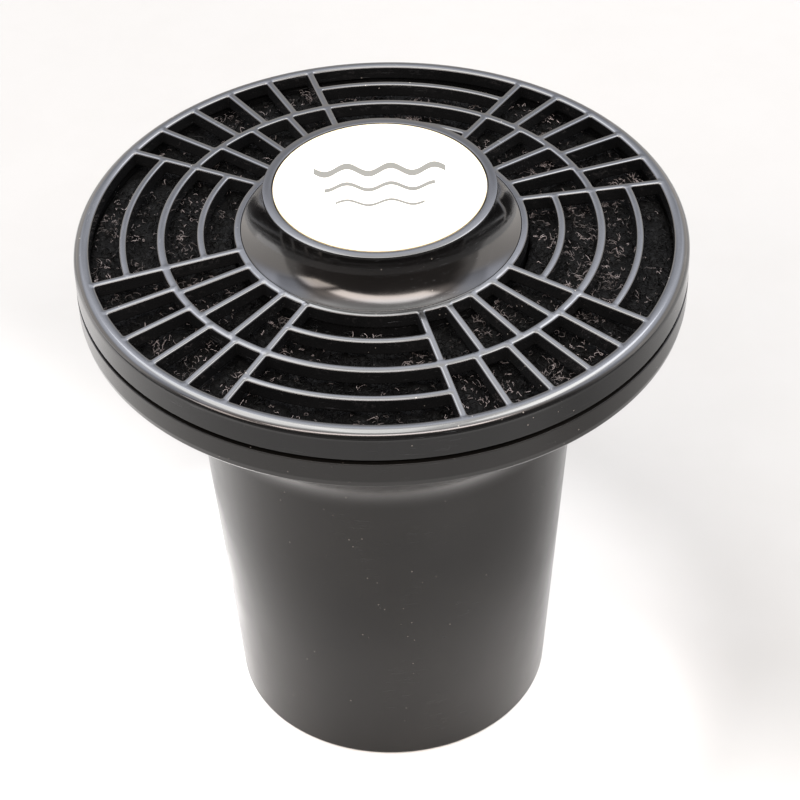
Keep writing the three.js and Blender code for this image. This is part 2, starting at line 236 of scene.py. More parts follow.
# ------------------------------------------------------------------- materials
class Nodes:
    def __init__(self, name):
        self.mat = bpy.data.materials.new(name)
        self.mat.use_nodes = True
        self.t = self.mat.node_tree
        self.t.nodes.clear()
        self.out = self.t.nodes.new("ShaderNodeOutputMaterial")
        self.bsdf = self.t.nodes.new("ShaderNodeBsdfPrincipled")
        self.t.links.new(self.bsdf.outputs[0], self.out.inputs["Surface"])
        self.co = self.t.nodes.new("ShaderNodeTexCoord").outputs["Object"]

    def set(self, **kw):
        for k, v in kw.items():
            self.bsdf.inputs[k.replace("_", " ")].default_value = v

    def put(self, socket, value):
        if hasattr(value, "links"):
            self.t.links.new(value, socket)
        else:
            socket.default_value = value

    def math(self, op, a, b=0.0, c=0.0, clamp=False):
        n = self.t.nodes.new("ShaderNodeMath")
        n.operation, n.use_clamp = op, clamp
        for s, v in zip(n.inputs, (a, b, c)):
            self.put(s, v)
        return n.outputs[0]

    def sep(self, v=None):
        n = self.t.nodes.new("ShaderNodeSeparateXYZ")
        self.put(n.inputs[0], self.co if v is None else v)
        return n.outputs

    def comb(self, x, y, z):
        n = self.t.nodes.new("ShaderNodeCombineXYZ")
        for s, v in zip(n.inputs, (x, y, z)):
            self.put(s, v)
        return n.outputs[0]

    def polar(self):
        """(radius mm, angle rad, z mm) of the point."""
        x, y, z = self.sep()
        r = self.math("MULTIPLY", self.math("POWER", self.math("ADD", self.math("MULTIPLY", x, x), self.math("MULTIPLY", y, y)), 0.5), 1000.0)
        return r, self.math("ARCTAN2", y, x), self.math("MULTIPLY", z, 1000.0)

    def noise(self, scale, detail=3.0, rough=0.5, distort=0.0, v=None):
        n = self.t.nodes.new("ShaderNodeTexNoise")
        self.put(n.inputs["Vector"], self.co if v is None else v)
        n.inputs["Scale"].default_value = scale
        n.inputs["Detail"].default_value = detail
        n.inputs["Roughness"].default_value = rough
        n.inputs["Distortion"].default_value = distort
        return n.outputs["Fac"]

    def voronoi(self, scale, feature="F1", v=None, out="Distance", rand=1.0):
        n = self.t.nodes.new("ShaderNodeTexVoronoi")
        n.feature = feature
        self.put(n.inputs["Vector"], self.co if v is None else v)
        n.inputs["Scale"].default_value = scale
        n.inputs["Randomness"].default_value = rand
        return n.outputs[out]

    def ramp(self, x, lo, hi, to0=0.0, to1=1.0, smooth=True):
        n = self.t.nodes.new("ShaderNodeMapRange")
        n.interpolation_type = "SMOOTHSTEP" if smooth else "LINEAR"
        n.clamp = True
        self.put(n.inputs["Value"], x)
        for k, v in (("From Min", lo), ("From Max", hi), ("To Min", to0), ("To Max", to1)):
            n.inputs[k].default_value = v
        return n.outputs["Result"]

    def band(self, x, centre, half, soft):
        """1 inside centre +- half, falling to 0 over soft."""
        d = self.math("ABSOLUTE", self.math("SUBTRACT", x, centre))
        return self.ramp(d, half, half + soft, 1.0, 0.0)

    def mix(self, fac, a, b):
        n = self.t.nodes.new("ShaderNodeMix")
        n.data_type = "RGBA"
        self.put(n.inputs[0], fac)
        for s, v in ((n.inputs[6], a), (n.inputs[7], b)):
            self.put(s, (*v, 1.0) if isinstance(v, tuple) and len(v) == 3 else v)
        return n.outputs[2]

    def bump(self, height, strength=0.3, dist=0.0001, normal=None):
        n = self.t.nodes.new("ShaderNodeBump")
        n.inputs["Strength"].default_value = strength
        n.inputs["Distance"].default_value = dist
        self.put(n.inputs["Height"], height)
        if normal is not None:
            self.put(n.inputs["Normal"], normal)
        return n.outputs[0]

    def link_to(self, name, value):
        self.t.links.new(value, self.bsdf.inputs[name])


def plastic(name, dark, light, rough=(0.3, 0.45), grain=0.12, spec=0.5, scuff=0.0, dust=0.0, coat=0.0):
    """Moulded plastic: cloudy tone, drifting gloss, fine moulding grain, scuffs and dust."""
    m = Nodes(name)
    m.set(Specular_IOR_Level=spec, IOR=1.5)
    if coat:
        m.set(Coat_Weight=coat, Coat_Roughness=0.12)
    cloud = m.noise(28.0, 4.0, 0.6)
    fine = m.noise(900.0, 3.0, 0.6)
    colour = m.mix(m.ramp(cloud, 0.35, 0.68), dark, light)
    r, a, z = m.polar()
    # long hairline scuffs that run round the part
    streak = m.noise(1.0, 4.0, 0.7, 0.3, m.comb(m.math("MULTIPLY", a, 9.0), m.math("MULTIPLY", z, 2.6), m.math("MULTIPLY", r, 2.6)))
    scratch = m.ramp(streak, 0.60, 0.70)
    patch = m.ramp(m.noise(60.0, 2.0, 0.5), 0.45, 0.65)
    scuffs = m.math("MULTIPLY", scratch, patch)
    roughness = m.ramp(m.noise(75.0, 5.0, 0.65), 0.3, 0.7, rough[0], rough[1])
    if scuff:
        colour = m.mix(m.math("MULTIPLY", scuffs, scuff), colour, (0.16, 0.165, 0.175))
        roughness = m.math("ADD", roughness, m.math("MULTIPLY", scuffs, 0.22 * scuff), clamp=True)
    if dust:
        speck = m.ramp(m.voronoi(520.0), 0.055, 0.10, 1.0, 0.0)
        thin = m.ramp(m.noise(140.0, 2.0), 0.56, 0.62)
        fac = m.math("MULTIPLY", m.math("MULTIPLY", speck, thin), dust)
        colour = m.mix(fac, colour, (0.30, 0.27, 0.24))
    m.link_to("Base Color", colour)
    m.link_to("Roughness", roughness)
    grainy = m.math("ADD", m.math("MULTIPLY", fine, 0.7), m.math("MULTIPLY", m.noise(160.0, 2.0), 0.8))
    n = m.bump(grainy, grain, 0.00008)
    if scuff:
        n = m.bump(m.math("SUBTRACT", 1.0, scuffs), 0.25 * scuff, 0.00005, n)
    m.link_to("Normal", n)
    return m


housing_mat = plastic("housing_black_abs", (0.0046, 0.0042, 0.0038), (0.0080, 0.0072, 0.0064), (0.15, 0.24), 0.07, 0.24, 0.10, 0.5).mat
grille_nodes = plastic("grille_black_abs", (0.0040, 0.0041, 0.0043), (0.0070, 0.0071, 0.0074), (0.08, 0.16), 0.05, 0.5, 0.30, 0.6)


def shine_on_top(m):
    """Handled faces are polished, the skirt and the walls of the slots keep the mould's duller skin."""
    r, a, z = m.polar()
    dome = m.math("MULTIPLY", m.math("MAXIMUM", m.math("SUBTRACT", RIM_IN, r), 0.0), CONE_SLOPE)
    m.link_to("Specular IOR Level", m.ramp(m.math("SUBTRACT", z, dome), 118.0, 119.3, 0.22, 0.95))


shine_on_top(grille_nodes)
grille_mat = grille_nodes.mat
hub_mat = plastic("hub_gloss_black", (0.0036, 0.0034, 0.0034), (0.0062, 0.0058, 0.0056), (0.08, 0.15), 0.05, 0.85, 0.22, 0.5).mat
inner_mat = plastic("inner_black_plastic", (0.010, 0.010, 0.0105), (0.017, 0.017, 0.0175), (0.38, 0.55), 0.2, 0.45, 0.1, 0.5).mat
rubber_mat = plastic("sleeve_rubber", (0.009, 0.009, 0.0093), (0.016, 0.0157, 0.0152), (0.6, 0.78), 0.4, 0.35, 0.0, 1.0).mat


def steel_material():
    m = Nodes("zinc_plated_steel")
    m.set(Metallic=1.0)
    m.link_to("Base Color", m.mix(m.ramp(m.noise(500.0, 4.0, 0.6), 0.35, 0.7), (0.42, 0.42, 0.43), (0.66, 0.65, 0.62)))
    m.link_to("Roughness", m.ramp(m.noise(900.0, 4.0), 0.3, 0.7, 0.26, 0.46))
    m.link_to("Normal", m.bump(m.noise(2500.0, 3.0), 0.15, 0.00003))
    return m.mat


steel_mat = steel_material()


def fibre_material():
    m = Nodes("curled_black_fibre")
    m.set(Specular_IOR_Level=0.13, IOR=1.5)
    tint = m.ramp(m.noise(420.0, 2.0), 0.66, 0.74)
    base = m.mix(m.ramp(m.noise(90.0, 3.0), 0.3, 0.7), (0.0005, 0.0005, 0.0005), (0.0016, 0.0015, 0.0015))
    m.link_to("Base Color", m.mix(m.math("MULTIPLY", tint, 0.3), base, (0.022, 0.017, 0.015)))
    m.link_to("Roughness", m.ramp(m.noise(700.0, 2.0), 0.3, 0.7, 0.22, 0.5))
    m.link_to("Normal", m.bump(m.noise(6000.0, 2.0), 0.2, 0.00002))
    return m.mat


fibre_mat = fibre_material()


def pale_fibre_glint_material():
    """The few curls that come out pinkish grey; their pale colour is partly their own tone and partly a painted glint.
    """
    m = Nodes("curled_pale_fibre_glint")
    m.set(Specular_IOR_Level=0.45, IOR=1.5)
    m.link_to("Base Color", m.mix(m.ramp(m.noise(160.0, 3.0), 0.35, 0.65), (0.035, 0.028, 0.026), (0.25, 0.212, 0.206)))
    m.link_to("Roughness", m.ramp(m.noise(700.0, 2.0), 0.3, 0.7, 0.25, 0.5))
    m.link_to("Normal", m.bump(m.noise(6000.0, 2.0), 0.2, 0.00002))
    return m.mat


pale_fibre_glint_mat = pale_fibre_glint_material()


def core_material():
    m = Nodes("fibre_mat_core")
    m.set(Specular_IOR_Level=0.07, IOR=1.5)
    web = m.voronoi(900.0, "DISTANCE_TO_EDGE", out="Distance")
    strand = m.ramp(web, 0.02, 0.16, 1.0, 0.0)
    m.link_to("Base Color", m.mix(strand, (0.0004, 0.0004, 0.0004), (0.0012, 0.0011, 0.0011)))
    m.link_to("Roughness", m.ramp(m.noise(800.0), 0.3, 0.7, 0.55, 0.8))
    m.link_to("Normal", m.bump(strand, 0.8, 0.0004))
    return m.mat


core_mat = core_material()


def label_material():
    """Cream printed disc with a fine border and three generic airflow waves."""
    m = Nodes("label_cream_print")
    m.set(Specular_IOR_Level=0.45, IOR=1.5)
    r, a, z = m.polar()
    x, y, _ = m.sep()
    x = m.math("MULTIPLY", x, 1000.0)
    y = m.math("MULTIPLY", y, 1000.0)
    paper = m.mix(m.ramp(m.noise(70.0, 5.0, 0.6), 0.3, 0.75), (0.80, 0.78, 0.68), (0.74, 0.71, 0.60))
    age = m.ramp(m.math("ADD", r, m.math("MULTIPLY", m.noise(160.0, 3.0), 1.6)), 20.6, 22.6)
    paper = m.mix(m.math("MULTIPLY", age, 0.8), paper, (0.40, 0.31, 0.17))
    ink = None
    for y0, amp, half, width in ((5.6, 1.35, 13.5, 1.05), (-0.2, 1.1, 11.25, 0.62), (-5.6, 0.9, 9.0, 0.40)):
        wave = m.math("MULTIPLY", m.math("SINE", m.math("MULTIPLY", x, TAU / 9.0)), amp)
        d = m.math("ABSOLUTE", m.math("SUBTRACT", y, m.math("ADD", wave, y0)))
        line = m.math("MULTIPLY", m.ramp(d, width, width + 0.10, 1.0, 0.0), m.ramp(m.math("ABSOLUTE", x), half, half + 0.15, 1.0, 0.0))
        ink = line if ink is None else m.math("MAXIMUM", ink, line)
    ink = m.math("MAXIMUM", ink, m.math("MULTIPLY", m.band(r, 20.7, 0.06, 0.06), 0.55))
    worn = m.ramp(m.noise(900.0, 4.0, 0.7), 0.16, 0.30)
    ink = m.math("MULTIPLY", ink, worn)
    m.link_to("Base Color", m.mix(m.math("MULTIPLY", ink, 0.9), paper, (0.020, 0.020, 0.018)))
    m.link_to("Roughness", m.ramp(m.noise(240.0, 4.0), 0.3, 0.7, 0.34, 0.5))
    m.link_to("Normal", m.bump(m.math("ADD", m.noise(1200.0, 3.0), m.math("MULTIPLY", ink, 0.4)), 0.08, 0.00005))
    return m.mat


label_mat = label_material()


# ---------------------------------------------------------------- rear housing
def make_housing():
    tilt = math.degrees(math.atan(DRAFT))
    fr = MOUTH_R + DRAFT * FLARE_Z
    cx = fr + FLARE_R * math.cos(math.radians(tilt))
    cz = FLARE_Z - FLARE_R * SIN(math.radians(tilt))
    outer = arc_pts(cx, cz, FLARE_R, 180 - tilt, 134, 20)
    inner = arc_pts(cx, cz, FLARE_R + WALL, 135, 180 - tilt, 16)
    end = outer[-1]
    ic = inner[0][1] - inner[0][0]

    def cone(z):
        return end[0] + (z - end[1]) / math.tan(math.radians(44))

    ring_z, ring_h = 30.3, 3.0
    groove1 = bore_at(ring_z + ring_h) + 0.8
    groove0 = bore_at(ring_z) + 0.8
    corners = [(31.3, 0, 0.3), (MOUTH_R, 0, 0.45)]
    corners += [(r, z, 0) for r, z in outer]
    corners += [
        (cone(105.3), 105.3, 0.8),
        (62.55, 105.75, 0.4),
        (63.12, 106.5, 0.5),
        (63.40, 107.8, 1.2),
        (RIM_R, 112.3, 0.28),
        (63.2, PART_Z, 0.15),
        (SPIGOT_R, PART_Z, 0.15),
        (SPIGOT_R, SPIGOT_Z, 0.35),
        (SPIGOT_IN, SPIGOT_Z, 0.35),
        (SPIGOT_IN, SPIGOT_IN + ic, 1.5),
    ]
    corners += [(r, z, 0) for r, z in inner]
    z1, z0 = ring_z + ring_h + 0.3, ring_z - 0.3
    corners += [
        (bore_at(z1), z1, 0.12),
        (groove1, z1, 0.1),
        (groove0, z0, 0.1),
        (bore_at(z0), z0, 0.12),
        (bore_at(2.0), 2.0, 0.2),
        (31.3, 2.0, 0.25),
    ]
    b = Build()
    b.lathe(rounded(corners, 5), 288)
    return piece("rear_housing_shell", b.v, b.f, housing_mat, "housing", ["rear_housing"], 30)


housing = make_housing()


# --------------------------------------------------------------------- grille
def outline(a0, a1, ri, ro, half, rho, d, n_arc, n_line, n_corner):
    """Outline of one slot between two radial ribs and two circles, enlarged by d, more so at the rim."""
    ri, ro, h, rho = ri - d, ro + d * (1.9 if d > 0 and ro > RIM_IN - 0.1 else 1.0), half - d, max(rho + d, 0.05)

    def rot(a, x, y):
        return np.array([x * math.cos(a) - y * math.sin(a), x * math.sin(a) + y * math.cos(a)])

    def corner(a, side, circle, outerward):
        dist = circle - rho if outerward else circle + rho
        perp = (h + rho) * side
        along = math.sqrt(dist * dist - perp * perp)
        c = rot(a, along, perp)
        on_line = rot(a, along, h * side)
        on_arc = c / np.linalg.norm(c) * circle
        return c, on_line, on_arc

    def sweep(c, p, q, n):
        t0 = math.atan2(*(p - c)[::-1])
        t1 = math.atan2(*(q - c)[::-1])
        dd = (t1 - t0 + math.pi) % TAU - math.pi
        return [c + rho * np.array([math.cos(t0 + dd * k / n), math.sin(t0 + dd * k / n)]) for k in range(n)]

    c0i, l0i, p0i = corner(a0, 1, ri, False)
    c0o, l0o, p0o = corner(a0, 1, ro, True)
    c1i, l1i, p1i = corner(a1, -1, ri, False)
    c1o, l1o, p1o = corner(a1, -1, ro, True)
    pts = [l0i + (l0o - l0i) * k / n_line for k in range(n_line)]
    pts += sweep(c0o, l0o, p0o, n_corner)

    def along_arc(p, q, radius, n):
        t0, t1 = math.atan2(p[1], p[0]), math.atan2(q[1], q[0])
        dd = (t1 - t0 + math.pi) % TAU - math.pi
        return [radius * np.array([math.cos(t0 + dd * k / n), math.sin(t0 + dd * k / n)]) for k in range(n)]

    pts += along_arc(p0o, p1o, ro, n_arc)
    pts += sweep(c1o, p1o, l1o, n_corner)
    pts += [l1o + (l1i - l1o) * k / n_line for k in range(n_line)]
    pts += sweep(c1i, l1i, p1i, n_corner)
    pts += along_arc(p1i, p0i, ri, n_arc)
    pts += sweep(c0i, p0i, l0i, n_corner)
    return np.array(pts)


def cells():
    step = TAU / 8
    base = math.radians(SECTOR_0)
    hw, rw = RIB_W / 2, RING_W / 2
    out = []
    for s in range(8):
        a = base + step * s
        if s % 2 == 0:
            for i in range(5):
                out.append((a + step / 5 * i, a + step / 5 * (i + 1), MIDDLE_R + rw, RIM_IN))
            for i in range(4):
                out.append((a + step / 4 * i, a + step / 4 * (i + 1), SEAT_R, MIDDLE_R - rw))
        else:
            for ri, ro in (
                (OUTER_ARC_R + hw, RIM_IN),
                (MIDDLE_R + rw, OUTER_ARC_R - hw),
                (INNER_ARC_R + hw, MIDDLE_R - rw),
                (SEAT_R, INNER_ARC_R - hw),
            ):
                out.append((a, a + step, ri, ro))
    return out


def flat_with_holes(outer_r, inner_r, holes, seg_o, seg_i):
    """Triangles of a flat ring with holes. Returns 2-D points, triangles, and the index of each loop's points."""
    co, edges, loops = [], [], []

    def loop(pts):
        k = len(co)
        co.extend([Vector((float(p[0]), float(p[1]))) for p in pts])
        n = len(pts)
        edges.extend([(k + i, k + (i + 1) % n) for i in range(n)])
        loops.append(list(range(k, k + n)))

    circle = lambda r, n: [(r * math.cos(TAU * i / n), r * math.sin(TAU * i / n)) for i in range(n)]
    loop(circle(outer_r, seg_o))
    loop(circle(inner_r, seg_i))
    for h in holes:
        loop(h)
    vo, eo, fo, orig, _, _ = delaunay_2d_cdt(co, edges, [], 0, 1e-5, True)
    back = {}
    for i, src in enumerate(orig):
        for s in src:
            back[s] = i
    P = np.array([(p.x, p.y) for p in vo])
    F = np.array([f for f in fo if len(f) == 3])
    C = P[F].mean(1)
    rr = np.hypot(C[:, 0], C[:, 1])
    keep = (rr < outer_r * math.cos(math.pi / seg_o) + 1e-3) & (rr > inner_r * math.cos(math.pi / seg_i) - 1e-3)
    for h in holes:
        lo, hi = h.min(0) - 0.01, h.max(0) + 0.01
        idx = np.where(keep & (C[:, 0] > lo[0]) & (C[:, 0] < hi[0]) & (C[:, 1] > lo[1]) & (C[:, 1] < hi[1]))[0]
        if not len(idx):
            continue
        q = C[idx]
        x0, y0 = h[:, 0], h[:, 1]
        x1, y1 = np.roll(x0, -1), np.roll(y0, -1)
        cross = (y0[None] > q[:, 1:2]) != (y1[None] > q[:, 1:2])
        with np.errstate(divide="ignore", invalid="ignore"):
            xs = (x1 - x0)[None] * (q[:, 1:2] - y0[None]) / (y1 - y0)[None] + x0[None]
        inside = (cross & (q[:, 0:1] < xs)).sum(1) % 2 == 1
        keep[idx[inside]] = False
    used_loops = [[back[i] for i in l] for l in loops]
    return P, F[keep], used_loops


def make_grille():
    z0 = TOP_Z - RIB_H
    hw = RIB_W / 2
    e, eb = 0.34, 0.2
    levels = [(e * (1 - math.sin(t)), TOP_Z - e * (1 - math.cos(t))) for t in (0, math.radians(30), math.radians(60), math.radians(90))]
    levels += [(-0.02, TOP_Z - e - 0.3), (-0.10, z0 + eb + 0.2)]
    levels += [(-0.12 + eb * (1 - math.cos(t)), z0 + eb * (1 - math.sin(t))) for t in (0, math.radians(45), math.radians(90))]
    seg = 360
    b = Build()
    specs = []
    for a0, a1, ri, ro in cells():
        n_arc = max(6, int(round((a1 - a0) * ro / 1.3)))
        specs.append((a0, a1, ri, ro, n_arc, 6))
    rings = []  # per cell: vertex index rows, one per level
    tops = [outline(a0, a1, ri, ro, hw, 0.42, levels[0][0], n, m, 5) for a0, a1, ri, ro, n, m in specs]
    bots = [outline(a0, a1, ri, ro, hw, 0.42, levels[-1][0], n, m, 5) for a0, a1, ri, ro, n, m in specs]
    # top face
    land_r = RIM_R - BEAD_R - 0.15
    P, F, loops_t = flat_with_holes(land_r, SEAT_IN + 0.10, tops, seg, 120)
    kt = b.add([(x, y, TOP_Z) for x, y in P], F)
    # bottom face
    P2, F2, loops_b = flat_with_holes(SPIGOT_R + 0.35, SEAT_R - 0.35, bots, seg, 120)
    kb = b.add([(x, y, z0) for x, y in P2], F2)
    for c, (a0, a1, ri, ro, n, m) in enumerate(specs):
        rows = [[kt + i for i in loops_t[2 + c]]]
        for d, z in levels[1:-1]:
            o = outline(a0, a1, ri, ro, hw, 0.42, d, n, m, 5)
            k = b.add([(x, y, z) for x, y in o], [])
            rows.append(list(range(k, k + len(o))))
        rows.append([kb + i for i in loops_b[2 + c]])
        for p, q in zip(rows, rows[1:]):
            L = len(p)
            b.f.extend([(p[i], p[(i + 1) % L], q[(i + 1) % L], q[i]) for i in range(L)])

    # lift everything so far onto the cone
    v = np.array(b.v)
    v[:, 2] += rise(np.hypot(v[:, 0], v[:, 1]))
    b.v = [tuple(q) for q in v]

    def strip(profile, first, last, n):
        """Turned strip that joins two existing loops of n vertices."""
        ang = np.arange(n) * TAU / n
        rows = [first]
        for r, z in profile:
            k = b.add(list(zip(r * np.cos(ang), r * np.sin(ang), [z] * n)), [])
            rows.append(list(range(k, k + n)))
        rows.append(last)
        for p, q in zip(rows, rows[1:]):
            b.f.extend([(p[i], p[(i + 1) % n], q[(i + 1) % n], q[i]) for i in range(n)])

    # rim: land, rounded bead, skirt
    sk = SPIGOT_R + 0.3
    bead = arc_pts(RIM_R - BEAD_R, TOP_Z - BEAD_R, BEAD_R, 90, 0, 14)
    skirt = [
        (RIM_R - 0.01, TOP_Z - BEAD_R - 0.4, 0.0),
        (RIM_R - 0.03, PART_Z + PART_GAP + 0.35, 0.2),
        (RIM_R - 0.35, PART_Z + PART_GAP, 0.15),
        (sk, PART_Z + PART_GAP, 0.15),
        (sk, z0, 0.0),
    ]
    prof = bead + rounded(skirt, 4, closed=False)[:-1]
    prof.append((sk, z0 - 0.3))
    strip(prof, [kt + i for i in loops_t[0]], [kb + i for i in loops_b[0]], seg)
    return b, kt, kb, loops_t, loops_b, strip


def finish_grille():
    b, kt, kb, loops_t, loops_b, strip = make_grille()
    z0 = TOP_Z - RIB_H
    # hub seat: collar under it, then the plate with its screw hole. The collar's loop has 120 points, the hole's 48.
    n = 120
    ang = np.arange(n) * TAU / n
    rows = [[kb + i for i in loops_b[1]]]
    cr = SEAT_R - 0.35
    collar = rounded(
        [(cr, z0 + float(rise(cr)), 0), (cr, 109.1, 0.3), (28.75, 109.1, 0.3), (28.75, SEAT_Z - 2.0, 0.4), (6.0, SEAT_Z - 2.0, 0)],
        4, closed=False,
    )[1:]
    for r, z in collar:
        k = b.add(list(zip(r * np.cos(ang), r * np.sin(ang), [z] * n)), [])
        rows.append(list(range(k, k + n)))
    for p, q in zip(rows, rows[1:]):
        b.f.extend([(p[i], p[(i + 1) % n], q[(i + 1) % n], q[i]) for i in range(n)])
    last = rows[-1]
    # recess that takes the hub: rounded edge, wall, floor
    top = float(rise(SEAT_IN)) + TOP_Z
    wall = arc_pts(SEAT_IN + 0.10, top - 0.10, 0.10, 90, 180, 4)[1:]
    wall += [(SEAT_IN, SEAT_Z + 0.5), (SEAT_IN, SEAT_Z + 0.15), (SEAT_IN - 0.15, SEAT_Z), (6.0, SEAT_Z)]
    rows = [[kt + i for i in loops_t[1]]]
    for r, z in wall:
        k = b.add(list(zip(r * np.cos(ang), r * np.sin(ang), [z] * n)), [])
        rows.append(list(range(k, k + n)))
    for p, q in zip(rows, rows[1:]):
        b.f.extend([(p[i], p[(i + 1) % n], q[(i + 1) % n], q[i]) for i in range(n)])
    # both faces of the plate from radius 6 to the hole
    holes, remap = [], {}
    for z, ring in ((SEAT_Z - 2.0, last), (SEAT_Z, rows[-1])):
        P, F, loops = flat_with_holes(6.0, 2.5, [], n, 48)
        k = b.add([(x, y, z) for x, y in P], F)
        remap.update(zip([k + i for i in loops[0]], ring))
        holes.append([k + i for i in loops[1]])
    lo, hi = holes
    b.f.extend([(lo[i], lo[(i + 1) % 48], hi[(i + 1) % 48], hi[i]) for i in range(48)])
    # weld the doubled circles at radius 6
    b.f = [tuple(remap.get(i, i) for i in f) for f in b.f]
    v = np.array(b.v)
    used = np.unique([i for f in b.f for i in f])
    new = -np.ones(len(v), int)
    new[used] = np.arange(len(used))
    faces = [tuple(new[list(f)]) for f in b.f]
    ob = piece("grille_shell", v[used], faces, grille_mat, "front_assembly", ["front_grille"], 50)
    # four screw posts under the plate, with blind holes
    posts = []
    for i in range(4):
        p = Build()
        p.lathe([(0, 115.9), (1.35, 116.2), (1.45, 116.4), (1.45, 109.2), (1.75, 108.8), (3.0, 108.8), (3.3, 109.1), (3.35, SEAT_Z - 1.0), (0, SEAT_Z - 1.0)][::-1], 40, closed=False)
        q = np.array(p.v)
        t = math.radians(45 + 90 * i)
        q[:, 0] += POST_R * math.cos(t)
        q[:, 1] += POST_R * math.sin(t)
        posts.append(temp(q, p.f, f"post{i}"))
    apply_boolean(ob, posts, "UNION")
    ob.data.shade_smooth()
    ob.data.set_sharp_from_angle(angle=math.radians(50))
    return ob


grille = finish_grille()


# ------------------------------------------------------------------------ hub
def make_hub():
    base = SEAT_Z + 0.3
    # flare: a concave arc from 38 degrees at its edge to nearly upright at the lip
    er, ez, rho = 28.50, 122.58, 11.6
    cx, cz = er + rho * SIN(math.radians(38)), ez + rho * math.cos(math.radians(38))
    flare = [(r, z, 0) for r, z in arc_pts(cx, cz, rho, 232, 182.5, 40)]
    edge = arc_pts(28.68, 122.19, 0.20, 0, 52, 5)
    outer = [(28.88, base, 0.15)] + [(r, z, 0) for r, z in edge] + flare
    outer += [
        (HUB_TOP_R + 0.02, HUB_TOP - 0.2, 0.0),
        (HUB_TOP_R - 0.06, HUB_TOP - 0.05, 0.0),
        (HUB_TOP_R - 0.2, HUB_TOP, 0.0),
        (LABEL_R + 0.3, HUB_TOP, 0.12),
        (LABEL_R + 0.3, HUB_TOP - 0.8, 0.1),
    ]
    prof = [(0, 128.4, 0), (1.7, 128.4, 0.1), (1.8, base, 0.2), (4.2, base, 0.3), (4.2, 129.4, 0.6), (22.2, 129.4, 1.2), (23.0, 126.6, 3.0), (24.3, 123.9, 3.0), (26.2, 121.6, 1.0), (26.7, base, 0.2)]
    prof += outer + [(0, HUB_TOP - 0.8, 0)]
    b = Build()
    b.lathe(rounded(prof, 9, closed=False), 288, closed=False)
    return piece("hub_trumpet", b.v, b.f, hub_mat, "front_assembly", ["hub_boss"], 35)


hub = make_hub()


def make_label():
    b = Build()
    z0, z1 = HUB_TOP - 0.5, HUB_TOP
    prof = rounded([(0, z0, 0), (LABEL_R, z0, 0.05), (LABEL_R, z1, 0.12), (21.2, z1 - 0.03, 0.3), (20.9, z1 - 0.02, 0.3), (10, z1 - 0.02, 2), (0, z1 - 0.03, 0)], 4, closed=False)
    b.lathe(prof, 240, closed=False)
    return piece("printed_label", b.v, b.f, label_mat, "front_assembly", ["hub_label"], 50)


label = make_label()


